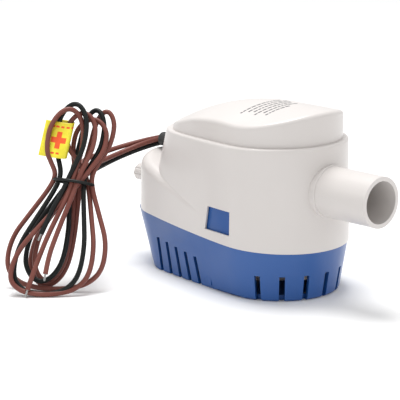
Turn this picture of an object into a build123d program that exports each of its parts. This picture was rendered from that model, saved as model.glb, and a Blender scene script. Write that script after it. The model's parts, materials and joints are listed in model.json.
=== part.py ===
from build123d import *
import math
import os

# Automatic bilge pump. Origin: motor-drum axis at the floor. +X runs along the discharge nozzle,
# +Z is up, millimetres.

# ---- driving dimensions ----
# An egg outline is (drum-end radius, float-end radius, reach between the two centres, side-arc radius).
BASE_FOOT = (35.0, 29.0, 64.0, 700.0)
SEAM = (40.3, 28.0, 76.0, 550.0)
SEAM_Z = 30.0
SEAM_SLOPE = -0.036
SHOULDER_TOP = (39.4, 27.2, 76.0, 549.0)
SHOULDER_TOP_Z = 76.0
SHOULDER_FILLET = 5.5
DRUM_LOW = (40.05, 28.8, 63.0, 352.0)
DRUM_LOW_Z = 45.0
RIM = (39.2, 31.0, 48.0, 350.0)
RIM_Z = 87.5
RIM_SLOPE = 0.026
RIM_ROUND = 1.5
WALL = 2.4
SEAM_STEP = 0.4

LID = (36.0, 29.0, 46.0, 350.0)
LID_CROWN_Z = 106.8
LID_CROWN_FALL_X = -8.0
LID_FALL_R = 120.0
LID_CROSS_R = 84.0
LID_WALL = 2.0

SPIGOT_Z = 62.3
SPIGOT_R = 14.5
SPIGOT_BORE_R = 12.0
SPIGOT_END_X = 77.0
SPIGOT_COLLAR_R = 15.2
SPIGOT_COLLAR_X = 41.0

WINDOW_X = (-19.6, -0.2)
WINDOW_LEAN = 2.2
WINDOW_WALL = 1.2
WINDOW_Z = (36.2, 50.0)

FLOOR_T = 3.0
SLOT_W = 2.8
SLOT_PITCH = 9.1
SLOT_FIRST_X = -68.2
SLOT_COUNT = 5
SLOT_LEAN = 9.0
ROUND_SLOT_W = 3.3
ROUND_SLOT_TOP = 15.0
ROUND_SLOT_FIRST = -65.0
ROUND_SLOT_STEP = 22.0
ROUND_SLOT_COUNT = 7
RECESS_X = -18.0
RECESS_LEAN = 0.25
RECESS_DEPTH = 0.9
SCREW_HOLE_R = 2.3
SCREW_HOLE_PITCH = 48.0
SCREW_HOLE_X = -26.0

TAB_PIVOT_Y = 32.4
TAB_PIVOT_Z = 24.0
TAB_FOOT_Z = (31.2, 33.8)
TAB_TOP_Z = 52.0
TAB_GAP = 0.5
TAB_T = 2.2
PIN_PLAY = 0.06

MOTOR_X = -8.0
CAN_R = 20.0
CAN_Z = (36.5, 82.0)
SHAFT_R = 2.0
VOLUTE_R = 29.0
VOLUTE_WALL = 2.5
VOLUTE_Z = (11.5, 28.0)
IMPELLER_R = 20.0
CHASSIS_Z = (34.0, 36.5)
RISER_X = (18.0, 31.0)
RISER_HALF = 12.0
RISER_TOP = 76.0

FLOAT_PIVOT = (-50.0, 24.0)
FLOAT_X = (-87.0, -57.0)
FLOAT_Z = (6.0, 24.0)

KNOB_Z = 48.0
KNOB_R = 5.2
KNOB_TIP_X = -118.5
KNOB_SHAFT_R = 2.5
LIFTER_REACH = 9.2

GLAND_Z = 71.6
GLAND_R = 4.2
GLAND_TIP_X = -97.5
WIRE_R = 1.45

os.makedirs("parts", exist_ok=True)


# ---- shared outlines ----
def egg(dims, inset=0.0):
    """Draw an egg outline, moved inwards by inset, as a face in the sketch that is open."""
    big = dims[0] - inset
    end = dims[1] - inset
    reach = dims[2]
    side = dims[3] - inset
    to_big = side - big
    to_end = side - end
    side_x = (to_end**2 - to_big**2 - reach**2) / (2 * reach)
    side_y = math.sqrt(to_big**2 - side_x**2)
    on_big = (-side_x * big / to_big, side_y * big / to_big)
    on_end = (-reach - (reach + side_x) * end / to_end, side_y * end / to_end)
    mean = (math.atan2(side_y, -side_x) + math.atan2(side_y, -reach - side_x)) / 2
    on_side = (side_x + side * math.cos(mean), -side_y + side * math.sin(mean))
    with BuildLine() as outline:
        ThreePointArc((on_big[0], -on_big[1]), (big, 0), on_big)
        ThreePointArc(on_big, on_side, on_end)
        ThreePointArc(on_end, (-reach - end, 0), (on_end[0], -on_end[1]))
        ThreePointArc((on_end[0], -on_end[1]), (on_side[0], -on_side[1]), (on_big[0], -on_big[1]))
    make_face(outline.edges())


def between(low, high, share):
    """Egg dimensions part of the way from low to high; a share past 0 or 1 extends the taper."""
    return tuple(a + (b - a) * share for a, b in zip(low, high))


def tapered(low, low_z, high, high_z, z1, z2, inset=0.0):
    """Add the tapered egg solid between heights z1 and z2, its wall moved inwards by inset."""
    sections = []
    for z in (z1, z2):
        with BuildSketch(Plane.XY.offset(z)) as section:
            egg(between(low, high, (z - low_z) / (high_z - low_z)), inset)
        sections.append(section.sketch)
    loft(sections, ruled=True)


def ring(plane, outer_r, inner_r, height):
    """Add a plain ring that stands on plane."""
    with BuildSketch(plane) as section:
        Circle(outer_r)
        Circle(inner_r, mode=Mode.SUBTRACT)
    extrude(section.sketch, amount=height)


def save(piece, name):
    piece.part.label = name
    export_step(piece.part, f"parts/{name}.step")


SEAM_PLANE = Plane(origin=(0, 0, SEAM_Z), z_dir=(-SEAM_SLOPE, 0, 1))
RIM_PLANE = Plane(origin=(0, 0, RIM_Z), z_dir=(-RIM_SLOPE, 0, 1))
MOTOR = Plane(origin=(MOTOR_X, 0, 0))
FRONT_AND_REAR = (("front", -1), ("rear", 1))


def motor_plane(z):
    return MOTOR.offset(z)


def side_cylinder(x, z, radius, y1, y2):
    """Add a cylinder along Y between y1 and y2, centred on x and z."""
    with BuildSketch(Plane(origin=(x, y1, z), z_dir=(0, 1, 0))) as section:
        Circle(radius)
    extrude(section.sketch, amount=y2 - y1)


def lengthwise_cylinder(y, z, radius, x1, x2, mode=Mode.ADD):
    """Add or cut a cylinder along X between x1 and x2, centred on y and z."""
    with BuildSketch(Plane(origin=(x1, y, z), z_dir=(1, 0, 0))) as section:
        Circle(radius)
    extrude(section.sketch, amount=x2 - x1, mode=mode)


def block(x, y, z, mode=Mode.ADD):
    """Add or cut a block between the two limits given for each axis."""
    centre = tuple((a + b) / 2 for a, b in (x, y, z))
    with Locations(centre):
        Box(x[1] - x[0], y[1] - y[0], z[1] - z[0], mode=mode)


# ---- construction forms: the housing's two outer volumes and its cavity ----
with BuildPart() as above_shoulder:
    with BuildSketch(Plane.XZ):
        with BuildLine():
            ThreePointArc((-112, 71.0), (-51, 54.1), (-4, 44.5))
            Polyline((-4, 44.5), (-4, 100), (-112, 100), (-112, 71.0))
        make_face()
    extrude(amount=60, both=True)

with BuildPart() as float_volume:
    tapered(SEAM, SEAM_Z, SHOULDER_TOP, SHOULDER_TOP_Z, 24, 76)
    add(above_shoulder.part, mode=Mode.SUBTRACT)
    block((-4, 60), (-60, 60), (0, 100), mode=Mode.SUBTRACT)
    shoulder = float_volume.faces().filter_by(lambda f: f.normal_at().Z > 0.8).sort_by(Axis.Z)[-1]
    fillet(shoulder.edges().filter_by(lambda e: e.center().X < -4.1), SHOULDER_FILLET)

with BuildPart() as drum_volume:
    tapered(DRUM_LOW, DRUM_LOW_Z, RIM, RIM_Z, 24, 92, inset=0.03)
    split(bisect_by=RIM_PLANE, keep=Keep.BOTTOM)
    rim_face = drum_volume.faces().sort_by(Axis.Z)[-1]
    fillet(rim_face.edges(), RIM_ROUND)

with BuildPart() as float_cavity:
    tapered(SEAM, SEAM_Z, SHOULDER_TOP, SHOULDER_TOP_Z, 24, 76, inset=WALL)
    add(above_shoulder.part.moved(Location((0, 0, -WALL))), mode=Mode.SUBTRACT)
    block((-4.5, 60), (-60, 60), (0, 100), mode=Mode.SUBTRACT)

with BuildPart() as drum_cavity:
    tapered(DRUM_LOW, DRUM_LOW_Z, RIM, RIM_Z, 24, 92, inset=WALL)
    split(bisect_by=RIM_PLANE.offset(-WALL), keep=Keep.BOTTOM)

with BuildPart() as tab_channel:
    tapered(DRUM_LOW, DRUM_LOW_Z, RIM, RIM_Z, 24, 53, inset=WINDOW_WALL)
    block((-60, 60), (-30, 30), (20, 60), mode=Mode.SUBTRACT)
    block((-23.2, 2.0), (-60, 60), (20, 60), mode=Mode.INTERSECT)

# ---- housing shell, moulded in one with its hose spigot ----
with BuildPart() as housing_shell:
    add(float_volume.part)
    add(drum_volume.part)
    lengthwise_cylinder(0, KNOB_Z, 6.4, -105.6, -100)
    add(float_cavity.part, mode=Mode.SUBTRACT)
    add(drum_cavity.part, mode=Mode.SUBTRACT)
    lengthwise_cylinder(0, SPIGOT_Z, SPIGOT_COLLAR_R, RISER_X[1] + 1, SPIGOT_COLLAR_X)
    fillet(housing_shell.faces().sort_by(Axis.X)[-1].edges(), 0.6)
    lengthwise_cylinder(0, SPIGOT_Z, SPIGOT_R, SPIGOT_COLLAR_X, SPIGOT_END_X)
    lengthwise_cylinder(0, SPIGOT_Z, SPIGOT_BORE_R, RISER_X[1], SPIGOT_END_X + 1, mode=Mode.SUBTRACT)
    lengthwise_cylinder(0, KNOB_Z, KNOB_SHAFT_R + PIN_PLAY, -110, -95, mode=Mode.SUBTRACT)
    lengthwise_cylinder(0, GLAND_Z, GLAND_R - 0.8, -92, -76, mode=Mode.SUBTRACT)
    with BuildSketch(Plane.XZ):
        with BuildLine():
            Polyline((WINDOW_X[0] - WINDOW_LEAN, WINDOW_Z[0]), (WINDOW_X[1], WINDOW_Z[0]),
                     (WINDOW_X[1], WINDOW_Z[1]), (WINDOW_X[0], WINDOW_Z[1]), close=True)
        make_face()
    extrude(amount=60, both=True, mode=Mode.SUBTRACT)
    add(tab_channel.part, mode=Mode.SUBTRACT)
    split(bisect_by=SEAM_PLANE, keep=Keep.TOP)
save(housing_shell, "housing_shell")

# ---- domed cover on the drum's deck ----
with BuildPart() as crown:
    with BuildLine(Plane.XZ):
        Line((50, LID_CROWN_Z), (LID_CROWN_FALL_X, LID_CROWN_Z))
        JernArc((LID_CROWN_FALL_X, LID_CROWN_Z), (-1, 0), LID_FALL_R, 52)
    with BuildSketch(Plane(origin=(50, 0, LID_CROWN_Z), x_dir=(0, -1, 0), z_dir=(-1, 0, 0))):
        with BuildLine():
            sag = LID_CROSS_R - math.sqrt(LID_CROSS_R**2 - 45**2)
            ThreePointArc((-45, -sag), (0, 0), (45, -sag))
            Polyline((45, -sag), (45, -38), (-45, -38), (-45, -sag))
        make_face()
    sweep()

with BuildPart() as top_cover:
    with BuildSketch(Plane.XY.offset(80)):
        egg(LID)
    extrude(amount=40)
    add(crown.part, mode=Mode.INTERSECT)
    split(bisect_by=RIM_PLANE, keep=Keep.TOP)
    dome_edge = top_cover.edges().filter_by(lambda e: e.center().Z > RIM_Z + 1.5)
    fillet(dome_edge, 2.6)
    with BuildPart(mode=Mode.PRIVATE) as cover_hollow:
        with BuildSketch(Plane.XY.offset(80)):
            egg(LID, LID_WALL)
        extrude(amount=40)
        add(crown.part.moved(Location((0, 0, -LID_WALL))), mode=Mode.INTERSECT)
    add(cover_hollow.part, mode=Mode.SUBTRACT)
save(top_cover, "top_cover")

# ---- strainer base ----
BASE_TOP = tuple(a - b for a, b in zip(SEAM, (SEAM_STEP, SEAM_STEP, 0, 0)))
with BuildPart() as slot_cutters:
    for i in range(SLOT_COUNT):
        top_z = 20.4 - 0.9 * i
        foot = Plane(origin=(SLOT_FIRST_X + SLOT_PITCH * i, 0, 0)).rotated((0, -SLOT_LEAN, 0))
        with BuildSketch(foot.offset(-4)):
            Rectangle(SLOT_W, 120)
        extrude(amount=top_z + 4)
    for i in range(ROUND_SLOT_COUNT):
        with BuildSketch(Plane.XY.offset(-1).rotated((0, 0, ROUND_SLOT_FIRST + ROUND_SLOT_STEP * i))):
            with Locations((30, 0)):
                Rectangle(40, ROUND_SLOT_W)
        extrude(amount=ROUND_SLOT_TOP + 1)
    for side in (-1, 1):
        block((-15, 4), (side * 45 - 12, side * 45 + 12), (-1, 1.1))

with BuildPart() as side_recess:
    tapered(BASE_FOOT, 0, BASE_TOP, SEAM_Z, -1, 28, inset=-3)
    with BuildPart(mode=Mode.PRIVATE) as recess_core:
        tapered(tuple(d - RECESS_DEPTH for d in BASE_FOOT[:2]) + BASE_FOOT[2:], 0, BASE_TOP, SEAM_Z, -2, 29)
    add(recess_core.part, mode=Mode.SUBTRACT)
    split(bisect_by=Plane(origin=(RECESS_X, 0, 0), z_dir=(1, 0, RECESS_LEAN)), keep=Keep.BOTTOM)

with BuildPart() as slot_ring:
    tapered(BASE_FOOT, 0, BASE_TOP, SEAM_Z, -1, 28, inset=-2)
    with BuildPart(mode=Mode.PRIVATE) as slot_core:
        tapered(BASE_FOOT, 0, BASE_TOP, SEAM_Z, -2, 29, inset=4)
    add(slot_core.part, mode=Mode.SUBTRACT)
    add(slot_cutters.part, mode=Mode.INTERSECT)

with BuildPart() as strainer_base:
    tapered(BASE_FOOT, 0, BASE_TOP, SEAM_Z, 0, 36)
    fillet(strainer_base.faces().sort_by(Axis.Z)[0].edges(), 2.2)
    with BuildPart(mode=Mode.PRIVATE) as base_hollow:
        tapered(BASE_FOOT, 0, BASE_TOP, SEAM_Z, FLOOR_T, 40, inset=WALL)
    add(base_hollow.part, mode=Mode.SUBTRACT)
    add(side_recess.part, mode=Mode.SUBTRACT)
    for side in (-1, 1):
        for x in ((-24.3, -21.0), (1.0, 4.3)):
            block(x, sorted((side * 30.2, side * 33.8)), (FLOOR_T - 1, 26.5))
        lengthwise_cylinder(side * TAB_PIVOT_Y, TAB_PIVOT_Z, 1.2 + PIN_PLAY, -30, 10, mode=Mode.SUBTRACT)
    add(slot_ring.part, mode=Mode.SUBTRACT)
    with Locations(*[(SCREW_HOLE_X + s * SCREW_HOLE_PITCH / 2, 0, 0) for s in (-1, 1)]):
        Cylinder(SCREW_HOLE_R, 20, mode=Mode.SUBTRACT)
    split(bisect_by=SEAM_PLANE, keep=Keep.BOTTOM)
save(strainer_base, "strainer_base")

# ---- squeeze tabs behind the two windows ----
for name, side in FRONT_AND_REAR:
    with BuildPart() as latch_tab:
        tapered(DRUM_LOW, DRUM_LOW_Z, RIM, RIM_Z, TAB_FOOT_Z[0], TAB_TOP_Z, inset=WINDOW_WALL + TAB_GAP)
        with BuildPart(mode=Mode.PRIVATE) as tab_core:
            tapered(DRUM_LOW, DRUM_LOW_Z, RIM, RIM_Z, TAB_FOOT_Z[1], 60, inset=WINDOW_WALL + TAB_GAP + TAB_T)
        add(tab_core.part, mode=Mode.SUBTRACT)
        block((-22.6, 1.2), sorted((side * (TAB_PIVOT_Y - 1.2), side * 50)), (20, 60), mode=Mode.INTERSECT)
        block((-20.5, 0.5), sorted((side * (TAB_PIVOT_Y - 1.2), side * (TAB_PIVOT_Y + 0.8))),
              (TAB_PIVOT_Z, TAB_FOOT_Z[1]))
        lengthwise_cylinder(side * TAB_PIVOT_Y, TAB_PIVOT_Z, 2.0, -20.5, 0.5)
        lengthwise_cylinder(side * TAB_PIVOT_Y, TAB_PIVOT_Z, 1.2, -23.8, 3.8)
    save(latch_tab, f"latch_tab_{name}")

# ---- chassis plate that carries the motor and the float hinge ----
with BuildPart() as chassis_plate:
    with BuildSketch(Plane.XY.offset(CHASSIS_Z[0])):
        egg(between(DRUM_LOW, RIM, -0.26), WALL + 0.3)
        with Locations((-56 - 40, 0)):
            Rectangle(80, 120, mode=Mode.SUBTRACT)
        with Locations((-10, 40.5), (-10, -40.5)):
            Rectangle(28, 20, mode=Mode.SUBTRACT)
        with Locations((MOTOR_X, 0)):
            Circle(6, mode=Mode.SUBTRACT)
            with PolarLocations(15, 2):
                Circle(1.55, mode=Mode.SUBTRACT)
        with Locations(((RISER_X[0] + RISER_X[1]) / 2, 0)):
            Rectangle(RISER_X[1] - RISER_X[0] + 0.2, 2 * RISER_HALF + 0.2, mode=Mode.SUBTRACT)
    extrude(amount=CHASSIS_Z[1] - CHASSIS_Z[0])
    for side in (-1, 1):
        block((-54, -46), sorted((side * 8.2, side * 11)), (20.4, CHASSIS_Z[0]))
    with Locations(Plane(origin=(FLOAT_PIVOT[0], 0, FLOAT_PIVOT[1]), z_dir=(0, 1, 0))):
        Cylinder(1.5, 60, mode=Mode.SUBTRACT)
save(chassis_plate, "chassis_plate")

# ---- pump end: intake plate, volute with riser, impeller, seals ----
with BuildPart() as intake_plate:
    ring(motor_plane(VOLUTE_Z[0] - 2.5), VOLUTE_R, 9.5, 2.5)
    ring(motor_plane(VOLUTE_Z[0] - 4.0), 11.5, 9.5, 2.0)
save(intake_plate, "intake_plate")

with BuildPart() as volute_casing:
    with BuildSketch(motor_plane(VOLUTE_Z[0])):
        Circle(VOLUTE_R)
    extrude(amount=VOLUTE_Z[1] - VOLUTE_Z[0])
    with BuildSketch(motor_plane(VOLUTE_Z[1])):
        Circle(11.5)
    extrude(amount=CHASSIS_Z[0] - VOLUTE_Z[1])
    block(RISER_X, (-RISER_HALF, RISER_HALF), (VOLUTE_Z[0], RISER_TOP))
    with BuildSketch(motor_plane(VOLUTE_Z[0] - 1)):
        Circle(VOLUTE_R - VOLUTE_WALL)
    extrude(amount=VOLUTE_Z[1] - VOLUTE_Z[0] + 1 - VOLUTE_WALL, mode=Mode.SUBTRACT)
    block((RISER_X[0] + 2, RISER_X[1] - 2), (-10, 10), (VOLUTE_Z[0] + 2.5, RISER_TOP - 2), mode=Mode.SUBTRACT)
    block((10, RISER_X[0] + 4), (-8, 8), (VOLUTE_Z[0] + 2.5, VOLUTE_Z[1] - VOLUTE_WALL), mode=Mode.SUBTRACT)
    lengthwise_cylinder(0, SPIGOT_Z, 9.5, RISER_X[0] + 4, RISER_X[1] + 1, mode=Mode.SUBTRACT)
    with BuildSketch(motor_plane(20)):
        Circle(6)
    extrude(amount=20, mode=Mode.SUBTRACT)
save(volute_casing, "volute_casing")

with BuildPart() as riser_gasket:
    ring(Plane(origin=(RISER_X[1], 0, SPIGOT_Z), z_dir=(1, 0, 0)), 13.5, 10.0, 1.0)
save(riser_gasket, "riser_gasket")

with BuildPart() as impeller:
    with BuildSketch(motor_plane(13.5)):
        Circle(5)
    extrude(amount=10)
    with BuildSketch(motor_plane(21.5)):
        Circle(IMPELLER_R)
    extrude(amount=2)
    with BuildSketch(motor_plane(13.5)):
        for blade in range(5):
            with BuildLine():
                points = [Vector(p).rotate(Axis.Z, blade * 72) for p in ((4.5, 0), (12.5, -3.5), (17.0, -10.0))]
                ThreePointArc(*points)
            trace(line_width=1.6)
    extrude(amount=8)
    with BuildSketch(motor_plane(0)):
        Circle(SHAFT_R)
    extrude(amount=40, mode=Mode.SUBTRACT)
save(impeller, "impeller")

with BuildPart() as shaft_seal:
    ring(motor_plane(26.5), 5.9, SHAFT_R + PIN_PLAY, 5.0)
save(shaft_seal, "shaft_seal")

with BuildPart() as seal_retainer:
    ring(motor_plane(31.5), 5.9, 3.2, 1.5)
save(seal_retainer, "seal_retainer")

# ---- motor ----
with BuildPart() as motor_shaft:
    with BuildSketch(motor_plane(14.0)):
        Circle(SHAFT_R)
    extrude(amount=69.0)
    chamfer(motor_shaft.faces().sort_by(Axis.Z)[-1].edges(), 0.4)
save(motor_shaft, "motor_shaft")

for name, z in (("lower", CAN_Z[0]), ("upper", CAN_Z[1] - 4.0)):
    with BuildPart() as bearing:
        ring(motor_plane(z), 5.0, SHAFT_R + PIN_PLAY, 4.0)
    save(bearing, f"{name}_bearing")

with BuildPart() as motor_can:
    ring(motor_plane(CAN_Z[0]), CAN_R, CAN_R - 1.2, CAN_Z[1] - CAN_Z[0])
    ring(motor_plane(CAN_Z[0]), CAN_R, 5.0, 1.6)
    with Locations(motor_plane(CAN_Z[0])):
        with PolarLocations(15, 2):
            Cylinder(1.55, 10, mode=Mode.SUBTRACT)
save(motor_can, "motor_can")

with BuildPart() as motor_end_bell:
    ring(motor_plane(CAN_Z[1] - 2.0), CAN_R - 1.25, 5.0, 2.0)
    ring(motor_plane(CAN_Z[1] - 4.0), 7.5, 5.0, 2.0)
save(motor_end_bell, "motor_end_bell")

with BuildPart() as motor_magnets:
    ring(motor_plane(44), CAN_R - 1.25, 15.6, 26)
    block((MOTOR_X - 30, MOTOR_X + 30), (-5, 5), (40, 75), mode=Mode.SUBTRACT)
save(motor_magnets, "motor_magnets")

with BuildPart() as armature_stack:
    ring(motor_plane(46), 15.0, SHAFT_R, 22)
    with Locations(motor_plane(57)):
        with PolarLocations(11, 5):
            Box(9.5, 3.2, 30, mode=Mode.SUBTRACT)
save(armature_stack, "armature_stack")

with BuildPart() as armature_windings:
    for z in (42, 68):
        ring(motor_plane(z), 12.5, 6.5, 4)
    with Locations(motor_plane(57)):
        with PolarLocations(9.6, 5):
            Box(5.8, 2.6, 22.5)
save(armature_windings, "armature_windings")

with BuildPart() as commutator:
    ring(motor_plane(72.2), 4.5, SHAFT_R, 5.3)
    with Locations(motor_plane(75)):
        with PolarLocations(4.5, 5):
            Box(1.6, 0.5, 10, mode=Mode.SUBTRACT)
save(commutator, "commutator")

with BuildPart() as brushes:
    with Locations(motor_plane(75)):
        with PolarLocations(7.4, 2):
            Box(5.0, 3.0, 3.0)
save(brushes, "brushes")

with BuildPart() as brush_springs:
    for side in (-1, 1):
        start = MOTOR_X + side * 9.9
        lengthwise_cylinder(0, 75, 1.1, min(start, start + side * 6.5), max(start, start + side * 6.5))
save(brush_springs, "brush_springs")

with BuildPart() as brush_card:
    ring(motor_plane(77.2), 17.0, 6.0, 0.8)
    for side in (-1, 1):
        x = sorted((MOTOR_X + side * 16.4, MOTOR_X + side * 18.0))
        block(x, (-3, 3), (73.2, 78.0))
save(brush_card, "brush_card")

with BuildPart() as motor_seal_ring:
    ring(motor_plane(CHASSIS_Z[1]), CAN_R + 1.6, CAN_R + 0.05, 2.0)
save(motor_seal_ring, "motor_seal_ring")

with BuildPart() as motor_screws:
    for side in (-1, 1):
        head = Plane(origin=(MOTOR_X + side * 15, 0, CHASSIS_Z[0]))
        with BuildSketch(head.offset(-2.0)):
            Circle(2.8)
        extrude(amount=2.0)
        with BuildSketch(head):
            Circle(1.5)
        extrude(amount=6.0)
        with Locations(head.offset(-2.0)):
            Box(4.2, 0.8, 1.6, mode=Mode.SUBTRACT)
save(motor_screws, "motor_screws")

# ---- float switch ----
with BuildPart() as float_pin:
    side_cylinder(FLOAT_PIVOT[0], FLOAT_PIVOT[1], 1.5, -12, 12)
save(float_pin, "float_pin")

with BuildPart() as float_arm:
    side_cylinder(FLOAT_PIVOT[0], FLOAT_PIVOT[1], 3.4, -7.6, 7.6)
    block((FLOAT_X[1], FLOAT_PIVOT[0]), (-4, 4), (20.8, 23.6))
    with Locations(Plane(origin=(FLOAT_PIVOT[0], 0, FLOAT_PIVOT[1]), z_dir=(0, 1, 0))):
        Cylinder(1.5 + PIN_PLAY, 60, mode=Mode.SUBTRACT)
    with Locations((FLOAT_PIVOT[0], 0, FLOAT_PIVOT[1] + 3.0)):
        Box(3.2, 6.2, 1.6, mode=Mode.SUBTRACT)
save(float_arm, "float_arm")

with BuildPart() as float_magnet:
    block((FLOAT_PIVOT[0] - 1.5, FLOAT_PIVOT[0] + 1.5), (-3, 3), (FLOAT_PIVOT[1] + 2.2, FLOAT_PIVOT[1] + 3.6))
save(float_magnet, "float_magnet")

with BuildPart() as switch_float:
    block(FLOAT_X, (-13, 13), FLOAT_Z)
    fillet(switch_float.edges().filter_by(Axis.Z), 6.0)
    fillet(switch_float.edges().group_by(Axis.Z)[-1], 1.5)
save(switch_float, "switch_float")

with BuildPart() as reed_switch:
    side_cylinder(FLOAT_PIVOT[0], CHASSIS_Z[1] + 1.6, 1.5, -8, 8)
save(reed_switch, "reed_switch")

# ---- test knob on the float end ----
with BuildPart() as test_knob:
    lengthwise_cylinder(0, KNOB_Z, KNOB_R, KNOB_TIP_X, -106.2)
    fillet(test_knob.faces().sort_by(Axis.X)[0].edges(), 1.4)
    with Locations(Plane(origin=(-113, 0, KNOB_Z), x_dir=(0, 1, 0), z_dir=(1, 0, 0))):
        with PolarLocations(KNOB_R + 0.5, 10):
            Cylinder(0.9, 9, mode=Mode.SUBTRACT)
    lengthwise_cylinder(0, KNOB_Z, KNOB_SHAFT_R, -106.3, -95)
save(test_knob, "test_knob")

with BuildPart() as lifter_crank:
    lengthwise_cylinder(0, KNOB_Z, 4.4, -98.5, -95)
    block((-98.5, -95), (-2.2, 2.2), (KNOB_Z - LIFTER_REACH, KNOB_Z))
    lengthwise_cylinder(0, KNOB_Z, KNOB_SHAFT_R, -99, -94, mode=Mode.SUBTRACT)
save(lifter_crank, "lifter_crank")

# ---- cable gland, a tapered boot with three cores ----
with BuildPart() as cable_gland:
    lengthwise_cylinder(0, GLAND_Z, GLAND_R - 0.85, -88.0, -75.5)
    lengthwise_cylinder(0, GLAND_Z, GLAND_R, GLAND_TIP_X, -87.2)
    fillet(cable_gland.faces().sort_by(Axis.X)[0].edges(), 0.8)
    lengthwise_cylinder(0, GLAND_Z, 5.9, -77.5, -75.5)
save(cable_gland, "cable_gland")

# ---- free leads between the gland and the hank ----
def lead(points):
    """Add one core's tube: straight runs joined by arcs as large as the shorter run allows."""
    corners = [Vector(p) for p in points]
    runs = [b - a for a, b in zip(corners, corners[1:])]
    radii = []
    for first, second in zip(runs, runs[1:]):
        half_turn = math.radians(first.get_angle(second) / 2)
        radii.append(0.45 * min(first.length, second.length) / math.tan(half_turn))
    with BuildLine() as route:
        FilletPolyline(*points, radius=radii)
    with BuildSketch(Plane(origin=route.line @ 0, z_dir=route.line % 0)) as section:
        Circle(WIRE_R)
    sweep(section.sketch, path=route.line)
    length = route.wire().length
    print("lead", [round(r, 1) for r in radii], "mm, length", round(length, 1))
    return length


LEADS = {
    "lead_brown_a": ((-96.7, 1.5, 72.9), (-108, -1, 69.9), (-116.5, -18, 66.2), (-113.5, -40, 64.6),
                     (-106, -58, 65.4), (-94.5, -71.5, 67.6)),
    "lead_brown_b": ((-96.7, -1.5, 72.2), (-107, -4.5, 68.7), (-113.5, -19, 63.6), (-111, -40, 60.8),
                     (-104.5, -58, 61.6), (-93.5, -73.0, 64.5)),
    "lead_black": ((-96.7, 0.7, 69.6), (-108, -1.5, 65.9), (-116, -18, 60.2), (-113, -40, 56.6),
                   (-105, -59, 55.0), (-93.0, -73.5, 54.4)),
}
for name, points in LEADS.items():
    with BuildPart() as core:
        length = lead(points)
    assert abs(core.part.volume / (math.pi * WIRE_R**2 * length) - 1) < 0.01
    save(core, name)

# ---- hank of the spare lead, standing on its spread lower loops, and its tie and flag ----
HANK_FOOT = Vector(-76.0, -101.8)
HANK_TOP = Vector(-101.0, -58.2)
HANK_HEIGHT = 103.0
HANK_TURN = 43.7
HANK_SECTIONS = ((0, 24, 14), (14, 30, 16), (38, 23, 12), (58, 11.5, 9.5), (80, 17, 11), (94, 17, 9.5),
                 (HANK_HEIGHT, 9, 5))
TIE_Z = (57.0, 59.2)
TIE_INSIDE = (10.9, 8.9)
TIE_THICKNESS = 1.6


def hank_plane(z):
    centre = HANK_FOOT + (HANK_TOP - HANK_FOOT) * (z / HANK_HEIGHT)
    return Plane(origin=(centre.X, centre.Y, z)).rotated((0, 0, HANK_TURN))


with BuildPart() as hank_tie:
    with BuildSketch(hank_plane(TIE_Z[0])):
        Ellipse(TIE_INSIDE[0] + TIE_THICKNESS, TIE_INSIDE[1] + TIE_THICKNESS)
        Ellipse(*TIE_INSIDE, mode=Mode.SUBTRACT)
    extrude(amount=TIE_Z[1] - TIE_Z[0])
save(hank_tie, "hank_tie")

with BuildPart() as wire_hank:
    for z, half_width, half_depth in HANK_SECTIONS:
        with BuildSketch(hank_plane(z)):
            Ellipse(half_width, half_depth)
    loft()
    with BuildPart(mode=Mode.PRIVATE) as tie_room:
        with BuildSketch(hank_plane(TIE_Z[0] - 0.3)):
            Ellipse(40, 40)
            Ellipse(TIE_INSIDE[0] - 0.3, TIE_INSIDE[1] - 0.3, mode=Mode.SUBTRACT)
        extrude(amount=TIE_Z[1] - TIE_Z[0] + 0.6)
    add(tie_room.part, mode=Mode.SUBTRACT)
save(wire_hank, "wire_hank")

FLAG_SIZE = (19.5, 20.5, 0.5)
FLAG_CENTRE = (-12.8, -13.8, 1.0)
with BuildPart() as polarity_flag:
    with Locations(hank_plane(82).location):
        with Locations(Location(FLAG_CENTRE, (90 - 17, 0, 0))):
            Box(*FLAG_SIZE)
save(polarity_flag, "polarity_flag")
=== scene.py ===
import json
import math

import bmesh
import bpy
from mathutils import Matrix, Vector


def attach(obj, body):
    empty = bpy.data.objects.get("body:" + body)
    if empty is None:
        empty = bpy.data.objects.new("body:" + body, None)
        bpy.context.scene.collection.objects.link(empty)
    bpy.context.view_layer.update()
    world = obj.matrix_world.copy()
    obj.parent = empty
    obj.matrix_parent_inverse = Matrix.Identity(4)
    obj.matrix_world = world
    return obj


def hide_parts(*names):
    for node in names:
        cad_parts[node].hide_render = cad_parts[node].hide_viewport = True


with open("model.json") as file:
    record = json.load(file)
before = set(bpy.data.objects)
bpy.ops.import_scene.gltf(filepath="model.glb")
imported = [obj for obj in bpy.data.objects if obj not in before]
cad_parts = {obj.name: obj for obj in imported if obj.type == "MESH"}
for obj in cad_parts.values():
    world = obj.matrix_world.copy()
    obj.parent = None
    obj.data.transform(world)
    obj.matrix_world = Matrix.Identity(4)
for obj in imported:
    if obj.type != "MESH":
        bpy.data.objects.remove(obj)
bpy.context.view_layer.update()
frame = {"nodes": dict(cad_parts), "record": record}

MM = 0.001
NODES = frame["nodes"]

# ---- camera, floor and light ----
VIEW_AZIMUTH = math.radians(43.7)
VIEW_ELEVATION = math.radians(13.7)
VIEW_DISTANCE = 1.2
VIEW_TARGET = Vector((0.0, 0.0, 0.05))
AIM_SIDEWAYS = -0.0453
LENS_MM = 188.5
FLOOR_GAP = 0.1 * MM

TOWARDS = Vector((math.sin(VIEW_AZIMUTH), -math.cos(VIEW_AZIMUTH), 0.0))
ACROSS = Vector((math.cos(VIEW_AZIMUTH), math.sin(VIEW_AZIMUTH), 0.0))


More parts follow.
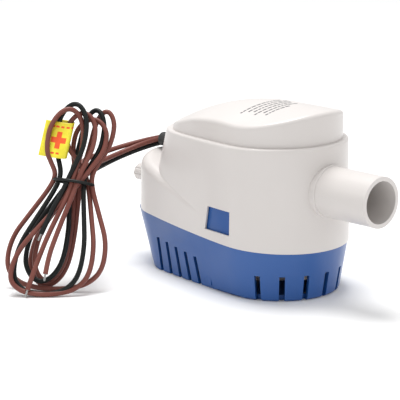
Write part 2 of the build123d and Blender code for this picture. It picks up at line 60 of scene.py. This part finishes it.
def make_camera():
    back = TOWARDS * math.cos(VIEW_ELEVATION) + Vector((0, 0, math.sin(VIEW_ELEVATION)))
    data = bpy.data.cameras.new("camera")
    data.lens = LENS_MM
    data.sensor_width = 36.0
    camera = bpy.data.objects.new("camera", data)
    camera.location = VIEW_TARGET + back * VIEW_DISTANCE
    look = VIEW_TARGET + ACROSS * AIM_SIDEWAYS - camera.location
    camera.rotation_euler = look.to_track_quat("-Z", "Y").to_euler()
    bpy.context.collection.objects.link(camera)
    bpy.context.scene.camera = camera


def make_floor():
    bpy.ops.mesh.primitive_plane_add(size=12.0, location=(0, 0, -FLOOR_GAP))
    floor = bpy.context.object
    floor.name = "floor"
    paint = bpy.data.materials.new("floor_white")
    paint.use_nodes = True
    shader = paint.node_tree.nodes["Principled BSDF"]
    shader.inputs["Base Color"].default_value = (0.93, 0.93, 0.93, 1)
    shader.inputs["Roughness"].default_value = 0.85
    floor.data.materials.append(paint)


# Each lamp: name, place, size across and power.
LIGHTS = (
    ("overhead", (-0.3, 0.1, 1.3), 0.7, 15.0),
    ("front_left", (-0.5, -1.1, 0.8), 0.8, 1.0),
    ("right", (1.2, 0.1, 0.5), 0.5, 0.9),
)
LIGHT_AIM = Vector((0, 0, 0.04))
SKY_STRENGTH = 0.72


def make_light(name, place, size, power):
    data = bpy.data.lights.new(name, "AREA")
    data.shape = "DISK"
    data.size = size
    data.energy = power
    light = bpy.data.objects.new(name, data)
    light.location = place
    light.rotation_euler = (LIGHT_AIM - Vector(place)).to_track_quat("-Z", "Y").to_euler()
    bpy.context.collection.objects.link(light)


def make_world():
    world = bpy.data.worlds.new("studio")
    bpy.context.scene.world = world
    world.use_nodes = True
    sky = world.node_tree.nodes["Background"]
    sky.inputs["Color"].default_value = (1.0, 1.0, 1.0, 1)
    sky.inputs["Strength"].default_value = SKY_STRENGTH


make_camera()
make_floor()
make_world()
for lamp in LIGHTS:
    make_light(*lamp)
bpy.context.scene.view_settings.view_transform = "Standard"


# ---- materials ----
class Look:
    """A procedural material being put together from a few named steps."""

    def __init__(self, name, colour, roughness, **inputs):
        self.material = bpy.data.materials.new(name)
        self.material.use_nodes = True
        self.tree = self.material.node_tree
        self.shader = self.tree.nodes["Principled BSDF"]
        self.shader.inputs["Base Color"].default_value = (*colour, 1)
        self.shader.inputs["Roughness"].default_value = roughness
        self.colour = colour
        self.roughness = roughness
        for key, value in inputs.items():
            self.shader.inputs[key.replace("_", " ")].default_value = value
        self.place = self.tree.nodes.new("ShaderNodeTexCoord").outputs["Object"]
        self.height = None

    def noise(self, scale, detail=3.0, stretch=(1, 1, 1)):
        mapping = self.tree.nodes.new("ShaderNodeMapping")
        mapping.inputs["Scale"].default_value = stretch
        self.tree.links.new(self.place, mapping.inputs["Vector"])
        texture = self.tree.nodes.new("ShaderNodeTexNoise")
        texture.inputs["Scale"].default_value = scale
        texture.inputs["Detail"].default_value = detail
        self.tree.links.new(mapping.outputs["Vector"], texture.inputs["Vector"])
        return texture.outputs["Fac"]

    def spread(self, source, low, high, start=0.35, stop=0.65):
        node = self.tree.nodes.new("ShaderNodeMapRange")
        node.inputs["From Min"].default_value = start
        node.inputs["From Max"].default_value = stop
        node.inputs["To Min"].default_value = low
        node.inputs["To Max"].default_value = high
        self.tree.links.new(source, node.inputs["Value"])
        return node.outputs["Result"]

    def tint(self, source, other, start=0.35, stop=0.65):
        mix = self.tree.nodes.new("ShaderNodeMix")
        mix.data_type = "RGBA"
        self.tree.links.new(self.spread(source, 0, 1, start, stop), mix.inputs["Factor"])
        old = self.shader.inputs["Base Color"]
        if old.links:
            self.tree.links.new(old.links[0].from_socket, mix.inputs["A"])
        else:
            mix.inputs["A"].default_value = (*self.colour, 1)
        mix.inputs["B"].default_value = (*other, 1)
        self.tree.links.new(mix.outputs["Result"], old)

    def vary_roughness(self, source, amount):
        low = self.roughness - amount
        high = self.roughness + amount
        self.tree.links.new(self.spread(source, low, high), self.shader.inputs["Roughness"])

    def bump(self, source, depth_mm, strength=1.0):
        node = self.tree.nodes.new("ShaderNodeBump")
        node.inputs["Strength"].default_value = strength
        node.inputs["Distance"].default_value = depth_mm * MM
        self.tree.links.new(source, node.inputs["Height"])
        if self.height:
            self.tree.links.new(self.height, node.inputs["Normal"])
        self.height = node.outputs["Normal"]
        self.tree.links.new(self.height, self.shader.inputs["Normal"])


def moulded(name, colour, shade, roughness, coat=0.0):
    """Injection-moulded plastic: faint flow tint, uneven gloss and a very fine orange peel."""
    look = Look(name, colour, roughness, Coat_Weight=coat, Coat_Roughness=0.12)
    look.tint(look.noise(18, 3, (1, 1, 0.5)), shade)
    look.vary_roughness(look.noise(60, 4), 0.06)
    look.bump(look.noise(420, 2), 0.03, 0.35)
    look.bump(look.noise(28, 2), 0.05, 0.15)
    return look.material


def insulation(name, colour, shade):
    """PVC wire jacket: waxy sheen, colour that drifts along the core, fine scuffs."""
    look = Look(name, colour, 0.42, Specular_IOR_Level=0.3)
    look.tint(look.noise(45, 3), shade)
    look.vary_roughness(look.noise(220, 3), 0.08)
    look.bump(look.noise(900, 2), 0.03, 0.4)
    return look.material


def metal(name, colour, roughness, grain=(1, 1, 12)):
    """Bare metal with a darker, stretched grain and fine scratches."""
    look = Look(name, colour, roughness, Metallic=1.0)
    look.tint(look.noise(90, 4, grain), tuple(c * 0.72 for c in colour))
    look.vary_roughness(look.noise(300, 3, grain), 0.07)
    look.bump(look.noise(700, 2, grain), 0.02, 0.4)
    return look.material


def soft(name, colour, roughness, scale=500, depth=0.05):
    """Rubber, foam, ceramic, paper or ink: a mottled tint and a fine grain."""
    look = Look(name, colour, roughness)
    look.tint(look.noise(70, 4), tuple(min(1.0, c * 1.5 + 0.01) for c in colour))
    look.vary_roughness(look.noise(scale * 0.6, 3), 0.08)
    look.bump(look.noise(scale, 3), depth, 0.5)
    return look.material


LOOKS = {
    "white_plastic": moulded("white_plastic", (0.665, 0.63, 0.61), (0.645, 0.61, 0.588), 0.36, 0.15),
    "blue_plastic": moulded("blue_plastic", (0.014, 0.080, 0.29), (0.017, 0.090, 0.315), 0.34, 0.08),
    "inner_plastic": moulded("inner_plastic", (0.58, 0.50, 0.46), (0.53, 0.455, 0.415), 0.5),
    "black_plastic": moulded("black_plastic", (0.016, 0.016, 0.017), (0.024, 0.024, 0.025), 0.45),
    "steel": metal("steel", (0.56, 0.56, 0.55), 0.32),
    "magnet": soft("magnet", (0.05, 0.05, 0.055), 0.55),
    "copper": metal("copper", (0.72, 0.34, 0.18), 0.35, (1, 1, 1)),
    "carbon": soft("carbon", (0.03, 0.03, 0.03), 0.6),
    "seal_rubber": soft("seal_rubber", (0.014, 0.015, 0.015), 0.55),
    "foam": soft("foam", (0.03, 0.03, 0.034), 0.8, 900, 0.15),
    "brown_insulation": insulation("brown_insulation", (0.165, 0.050, 0.038), (0.205, 0.068, 0.052)),
    "black_insulation": insulation("black_insulation", (0.0035, 0.0048, 0.0044), (0.007, 0.009, 0.0082)),
    "yellow_label": soft("yellow_label", (0.74, 0.60, 0.03), 0.42, 300, 0.02),
    "label_ink": soft("label_ink", (0.80, 0.085, 0.012), 0.45, 300, 0.02),
    "cover_ink": soft("cover_ink", (0.09, 0.09, 0.095), 0.5, 400, 0.02),
}


def dress_nodes():
    """Give every CAD node the material of its slot."""
    for row in frame["record"]["subparts"]:
        node = NODES[row["node"]]
        node.data.materials.clear()
        node.data.materials.append(LOOKS[row["material_slot"]])


dress_nodes()


# ---- wires: leads from the gland, then the hank's loops ----
WIRE = 2.9 * MM
HANK_FOOT = Vector((-0.0760, -0.1018, 0.0))
HANK_TOP = Vector((-0.1010, -0.0582, 0.103))
TIE_HEIGHT = 61.0


def hank_point(across, height, depth):
    """A place in the hank in mm: across it, up from the floor and towards its front."""
    on_axis = HANK_FOOT + (HANK_TOP - HANK_FOOT) * (height * MM / HANK_TOP.z)
    return on_axis + (ACROSS * across + TOWARDS * depth) * MM


STRAND_SHARES = (0.12, 0.5, 0.85)
ARCH_POINTS = 6


def half_loop(enter, leave, first, second, side, end, depth_first, depth_second):
    """Control points of one lobe, from the tie round its end and back, in mm.
    enter and leave are (across, depth) at the tie; first and second are the lobe's two sides."""
    points = []
    middle = (first + second) / 2
    half = (first - second) / 2
    for share in STRAND_SHARES:
        across = enter[0] + (first - enter[0]) * share
        height = TIE_HEIGHT + (side - TIE_HEIGHT) * share
        points.append((across, height, enter[1] + (depth_first - enter[1]) * share))
    for step in range(1, ARCH_POINTS + 1):
        share = step / (ARCH_POINTS + 1)
        turn = math.pi * share
        across = middle + half * math.cos(turn)
        height = side + (end - side) * math.sin(turn)
        points.append((across, height, depth_first + (depth_second - depth_first) * share))
    for share in reversed(STRAND_SHARES):
        across = leave[0] + (second - leave[0]) * share
        height = TIE_HEIGHT + (side - TIE_HEIGHT) * share
        points.append((across, height, leave[1] + (depth_second - leave[1]) * share))
    return points


# Each core: its free lead, then lobes as (enter, leave, first side, second side, side height,
# end height, depth at each side), then the tail beyond its last pass through the tie.
CORES = {
    "wire_brown_a": {
        "node": "lead_brown_a",
        "lead": ((-96.7, 1.5, 72.9), (-108, -1, 69.9), (-116.5, -18, 66.2), (-113.5, -40, 64.6),
                 (-106, -58, 65.4)),
        "lobes": (
            ((5.5, -4.6), (3.6, -1.6), -21.5, 4.5, 24, 0.6, -11, -8),
            ((3.6, -1.6), (8.7, 1.9), 7.0, 20.0, 81, 96.0, -5, -1),
            ((8.7, 1.9), (-9.5, 1.6), 26.5, -36.0, 21, -1.0, 3, -8),
            ((-9.5, 1.6), (-0.2, 6.4), -19.0, 3.0, 79, 99.2, 9.6, 4),
        ),
        "tail": ((-2.2, 52, 7.6), (-6.2, 42, 9.8), (-10.0, 32, 11.6), (-13.4, 20, 12.6), (-16.0, 9, 12.4),
                 (-17.0, 4.2, 12.0)),
    },
    "wire_brown_b": {
        "node": "lead_brown_b",
        "lead": ((-96.7, -1.5, 72.2), (-107, -4.5, 68.7), (-113.5, -19, 63.6), (-111, -40, 60.8),
                 (-104.5, -58, 61.6)),
        "lobes": (
            ((2.3, -5.0), (0.6, -2.0), -18.5, 2.5, 26, 4.5, -5, -4),
            ((0.6, -2.0), (5.2, 5.3), -4.0, 17.0, 78, 92.5, -2, 4),
            ((5.2, 5.3), (7.6, -1.4), -31.5, 19.0, 18, -0.6, 12, 6),
            ((7.6, -1.4), (2.4, 6.6), -9.0, 10.0, 81, 96.5, 2.6, 6),
        ),
        "tail": ((0.6, 52, 7.8), (-2.4, 42, 10.4), (-5.2, 32, 12.6), (-7.6, 22, 13.6), (-8.0, 13.0, 13.6)),
    },
    "wire_black": {
        "node": "lead_black",
        "lead": ((-96.7, 0.7, 69.6), (-108, -1.5, 65.9), (-116, -18, 60.2), (-113, -40, 56.6),
                 (-105, -59, 55.0)),
        "lobes": (
            ((-0.9, -5.2), (-2.4, -2.2), -23.5, 1.5, 27, 5.5, 0, 1),
            ((-2.4, -2.2), (5.2, 2.2), 0.5, 14.5, 80, 97.0, -5, 1.5),
            ((5.2, 2.2), (-6.6, 2.8), 13.0, -29.5, 20, -0.8, 9, 7),
            ((-6.6, 2.8), (-3.2, 6.6), -14.5, 4.8, 82, 101.8, 3.2, 8.6),
        ),
        "tail": ((-5.6, 54, 8.0), (-9.4, 46, 9.6), (-12.4, 37, 10.4), (-13.8, 33.0, 10.4)),
    },
}


def wire_points(core):
    """All of a core's control points in metres, kept from sinking into the floor."""
    points = [Vector(p) * MM for p in core["lead"]]
    for lobe in core["lobes"]:
        points += [hank_point(*p) for p in half_loop(*lobe)]
    points += [hank_point(*p) for p in core["tail"]]
    for point in points:
        point.z = max(point.z, WIRE / 2 + FLOOR_GAP)
    return points


def make_wire(name, points, diameter):
    data = bpy.data.curves.new(name, "CURVE")
    data.dimensions = "3D"
    data.bevel_depth = diameter / 2
    data.bevel_resolution = 5
    data.resolution_u = 8
    data.use_fill_caps = True
    spline = data.splines.new("NURBS")
    spline.points.add(len(points) - 1)
    for place, point in zip(spline.points, points):
        place.co = (*point, 1)
    spline.order_u = 3
    spline.use_endpoint_u = True
    wire = bpy.data.objects.new(name, data)
    bpy.context.collection.objects.link(wire)
    return wire


# The strands: one in the middle and the rest round it; a mean reach and how much it varies.
TIP_STRANDS = 7
TIP_SPREAD = 0.36 * MM
TIP_RADII = (0.26 * MM, 0.22 * MM)
TIP_REACH = (4.2 * MM, 0.6 * MM)
TIP_INSIDE = 0.6 * MM
TIP_SIDES = 10


def strand_tip(name, end, before):
    """The bare tinned strands that stick out of a core's cut end, parallel and uneven in length."""
    along = (end - before).normalized()
    aside = along.orthogonal().normalized()
    mesh = bmesh.new()
    for i in range(TIP_STRANDS):
        turn = 2 * math.pi * i / (TIP_STRANDS - 1)
        out = aside.copy()
        out.rotate(Matrix.Rotation(turn, 3, along))
        out = out * (0.0 if i == TIP_STRANDS - 1 else TIP_SPREAD)
        reach = TIP_REACH[0] + TIP_REACH[1] * math.sin(i * 2.3)
        made = bmesh.ops.create_cone(mesh, cap_ends=True, segments=TIP_SIDES, radius1=TIP_RADII[0],
                                     radius2=TIP_RADII[1], depth=reach)["verts"]
        spin = along.to_track_quat("Z", "Y").to_matrix().to_4x4()
        centre = end + along * (reach / 2 - TIP_INSIDE) + out
        bmesh.ops.transform(mesh, matrix=Matrix.Translation(centre) @ spin, verts=made)
    data = bpy.data.meshes.new(name)
    mesh.to_mesh(data)
    mesh.free()
    tip = bpy.data.objects.new(name, data)
    bpy.context.collection.objects.link(tip)
    data.materials.append(LOOKS["steel"])
    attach(tip, "housing")
    return tip


def make_wires(bound):
    for index, (name, core) in enumerate(CORES.items()):
        points = wire_points(core)
        wire = make_wire(name, points, WIRE)
        slot = "black_insulation" if "black" in name else "brown_insulation"
        wire.data.materials.append(LOOKS[slot])
        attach(wire, "housing")
        replaced = [core["node"]]
        if index == 0:
            replaced.append("wire_hank")
        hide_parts(*replaced)
        tip = strand_tip(name + "_strands", points[-1], points[-2])


# ---- the cord that ties the hank ----
def tube(name, places, radius, sides=14):
    """A closed ring of cord that follows the places."""
    mesh = bmesh.new()
    rings = []
    for i, place in enumerate(places):
        along = (places[(i + 1) % len(places)] - places[i - 1]).normalized()
        out = (along.cross(Vector((0, 0, 1)))).normalized()
        up = out.cross(along)
        ring = []
        for k in range(sides):
            turn = 2 * math.pi * k / sides
            ring.append(mesh.verts.new(place + (out * math.cos(turn) + up * math.sin(turn)) * radius))
        rings.append(ring)
    for i, ring in enumerate(rings):
        after = rings[(i + 1) % len(rings)]
        for k in range(sides):
            face = mesh.faces.new((ring[k], ring[(k + 1) % sides], after[(k + 1) % sides], after[k]))
            face.smooth = True
    bmesh.ops.recalc_face_normals(mesh, faces=mesh.faces)
    data = bpy.data.meshes.new(name)
    mesh.to_mesh(data)
    mesh.free()
    piece = bpy.data.objects.new(name, data)
    bpy.context.collection.objects.link(piece)
    return piece


TIE_HALF = (11.6, 8.6)
TIE_CENTRE = 58.4
TIE_DEPTH = 1.0
TIE_CORD_R = 0.95
TIE_STEPS = 96
TIE_FRONT_RISE = 2.6
TIE_RIGHT_FALL = 1.5


def make_tie():
    """The cord round the waist, its front pulled up and its right side down."""
    places = []
    for i in range(TIE_STEPS):
        turn = 2 * math.pi * i / TIE_STEPS
        height = TIE_CENTRE + TIE_FRONT_RISE * math.sin(turn) - TIE_RIGHT_FALL * math.cos(turn)
        depth = TIE_DEPTH + TIE_HALF[1] * math.sin(turn)
        places.append(hank_point(TIE_HALF[0] * math.cos(turn), height, depth))
    tie = tube("hank_cord", places, TIE_CORD_R * MM)
    tie.data.materials.append(LOOKS["black_insulation"])
    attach(tie, "housing")
    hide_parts("hank_tie")
    return tie


# ---- the folded label round two strands ----
# The label from above, as (across, depth): from its left edge behind the strands, round them on the
# right and back in front.
LABEL_PATH = ((-21.4, 5.2), (-19.0, 5.4), (-16.8, 4.4), (-15.2, 1.6), (-12.3, -0.4), (-8.6, -0.4),
              (-5.8, 1.2), (-4.8, 3.8), (-5.6, 6.4), (-8.6, 7.4), (-12.6, 7.3), (-15.9, 6.6),
              (-18.4, 6.0), (-20.6, 5.8))
LABEL_FOOT = 72.8
LABEL_HEIGHT = 18.8
LABEL_LEAN = 0.09
LABEL_TILT = -0.11
LABEL_CELL = 0.5
LABEL_THICKNESS = 0.24
LABEL_TILT_ABOUT = -12.8
LABEL_CURL = 0.5
LABEL_BACK_CURL = 0.4
LABEL_MARK_ACROSS = -11.6
LABEL_MARK_HALF = 8
PATH_STEPS = 20


def smooth_path(corners, step):
    """Places every step mm along a smooth line through the corners."""
    dense = []
    for i in range(len(corners) - 1):
        before = Vector(corners[max(i - 1, 0)])
        here = Vector(corners[i])
        there = Vector(corners[i + 1])
        after = Vector(corners[min(i + 2, len(corners) - 1)])
        for k in range(PATH_STEPS):
            t = k / PATH_STEPS
            square = (2 * before - 5 * here + 4 * there - after) * t**2
            cube = (3 * here - before - 3 * there + after) * t**3
            dense.append(0.5 * (2 * here + (there - before) * t + square + cube))
    dense.append(Vector(corners[-1]))
    places = [dense[0]]
    travelled = 0.0
    for a, b in zip(dense, dense[1:]):
        travelled += (b - a).length
        if travelled >= step:
            places.append(b)
            travelled -= step
    return places


# The printed mark in mm: a plus, a row of bars above it and a shorter one below.
PLUS_HALF = (4.4, 4.6)
PLUS_ARM = 1.6
TOP_BARS_UP = (6.4, 7.5)
TOP_BARS_FROM = -6
TOP_BARS_SQUEEZE = 0.9
TOP_BARS_PITCH = 2.6
TOP_BARS_WIDE = 1.9
LOW_BARS_UP = (-7.6, -6.6)
LOW_BARS_ALONG = (-3.0, 2.6)
LOW_BARS_PITCH = 2.9
LOW_BARS_WIDE = 2.1


def label_ink(along, up):
    """Whether a printed mark covers this place on the label's front, in mm from the mark's middle."""
    upright = abs(up) < PLUS_HALF[1] and abs(along) < PLUS_ARM
    level = abs(up) < PLUS_ARM and abs(along) < PLUS_HALF[0]
    if upright or level:
        return True
    if TOP_BARS_UP[0] < up < TOP_BARS_UP[1]:
        return (along * TOP_BARS_SQUEEZE) % TOP_BARS_PITCH < TOP_BARS_WIDE and along > TOP_BARS_FROM
    in_low_row = LOW_BARS_UP[0] < up < LOW_BARS_UP[1]
    in_low_bars = LOW_BARS_ALONG[0] < along < LOW_BARS_ALONG[1]
    return in_low_row and in_low_bars and (along - LOW_BARS_ALONG[0]) % LOW_BARS_PITCH < LOW_BARS_WIDE


def make_label():
    """The folded label: a bent grid with its printed cells in the second material."""
    path = smooth_path(LABEL_PATH, LABEL_CELL)
    rows = round(LABEL_HEIGHT / LABEL_CELL)
    front = max(range(len(path)), key=lambda i: path[i].y - abs(path[i].x - LABEL_MARK_ACROSS))
    mesh = bmesh.new()
    grid = []
    for i, place in enumerate(path):
        column = []
        for k in range(rows + 1):
            height = LABEL_FOOT + LABEL_CELL * k + LABEL_TILT * (place.x - LABEL_TILT_ABOUT)
            share = 1 if i > len(path) / 2 else LABEL_BACK_CURL
            curl = LABEL_CURL * math.sin(k / rows * math.pi) * share
            across = place.x + LABEL_LEAN * LABEL_CELL * (k - rows / 2)
            column.append(mesh.verts.new(hank_point(across, height, place.y + curl)))
        grid.append(column)
    for i in range(len(path) - 1):
        for k in range(rows):
            face = mesh.faces.new((grid[i][k], grid[i + 1][k], grid[i + 1][k + 1], grid[i][k + 1]))
            face.smooth = True
            along = (front - i - 0.5) * LABEL_CELL
            if abs(along) < LABEL_MARK_HALF and label_ink(along, (k + 0.5) * LABEL_CELL - LABEL_HEIGHT / 2):
                face.material_index = 1
    bmesh.ops.recalc_face_normals(mesh, faces=mesh.faces)
    data = bpy.data.meshes.new("polarity_label")
    mesh.to_mesh(data)
    mesh.free()
    label = bpy.data.objects.new("polarity_label", data)
    bpy.context.collection.objects.link(label)
    thick = label.modifiers.new("thickness", "SOLIDIFY")
    thick.thickness = LABEL_THICKNESS * MM
    thick.offset = 0.0
    data.materials.append(LOOKS["yellow_label"])
    data.materials.append(LOOKS["label_ink"])
    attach(label, "housing")
    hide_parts("polarity_flag")
    return label


# ---- print on the cover: plain bars where the real one has its lettering ----
# Each line: where its bars start and where no further one starts, along it in mm.
PRINT_CORNER = Vector((-8.0, -24.0))
PRINT_LINES = ((0.0, 30), (3.0, 33), (4.0, 34), (1.0, 31), (5.0, 29), (3.0, 22))
PRINT_PITCH = 3.3
PRINT_TALL = 1.0
PRINT_PROUD = 0.07
PRINT_SUNK = 0.2
PRINT_GAP = 0.8
PRINT_WORD = (1.4, 1.9)
PRINT_RAY_FROM = 200.0


def make_print():
    """Rows of thin closed bars laid on the cover's dome, each row a line of words."""
    cover = NODES["top_cover"]
    mesh = bmesh.new()
    for line, (start, stop) in enumerate(PRINT_LINES):
        y = start
        word = 0
        while y < stop:
            wide = PRINT_WORD[0] + PRINT_WORD[1] * abs(math.sin(line * 5.1 + word * 2.7))
            corners = []
            for step in range(4):
                for edge in (0, 1):
                    offset = Vector((line * PRINT_PITCH + edge * PRINT_TALL, y + wide * step / 3))
                    spot = PRINT_CORNER + offset
                    above = Vector((spot.x, spot.y, PRINT_RAY_FROM)) * MM
                    hit, place, _, _ = cover.ray_cast(above, Vector((0, 0, -1)))
                    assert hit
                    corners.append(place)
            tops = [mesh.verts.new(c + Vector((0, 0, PRINT_PROUD * MM))) for c in corners]
            lows = [mesh.verts.new(c - Vector((0, 0, PRINT_SUNK * MM))) for c in corners]
            for k in range(0, 6, 2):
                mesh.faces.new((tops[k], tops[k + 1], tops[k + 3], tops[k + 2]))
                mesh.faces.new((lows[k], lows[k + 2], lows[k + 3], lows[k + 1]))
                mesh.faces.new((tops[k], tops[k + 2], lows[k + 2], lows[k]))
                mesh.faces.new((tops[k + 1], lows[k + 1], lows[k + 3], tops[k + 3]))
            mesh.faces.new((tops[0], lows[0], lows[1], tops[1]))
            mesh.faces.new((tops[6], tops[7], lows[7], lows[6]))
            y += wide + PRINT_GAP
            word += 1
    bmesh.ops.recalc_face_normals(mesh, faces=mesh.faces)
    data = bpy.data.meshes.new("cover_print")
    mesh.to_mesh(data)
    mesh.free()
    marks = bpy.data.objects.new("cover_print", data)
    bpy.context.collection.objects.link(marks)
    data.materials.append(LOOKS["cover_ink"])
    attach(marks, "housing")


make_wires([make_tie(), make_label()])
make_print()
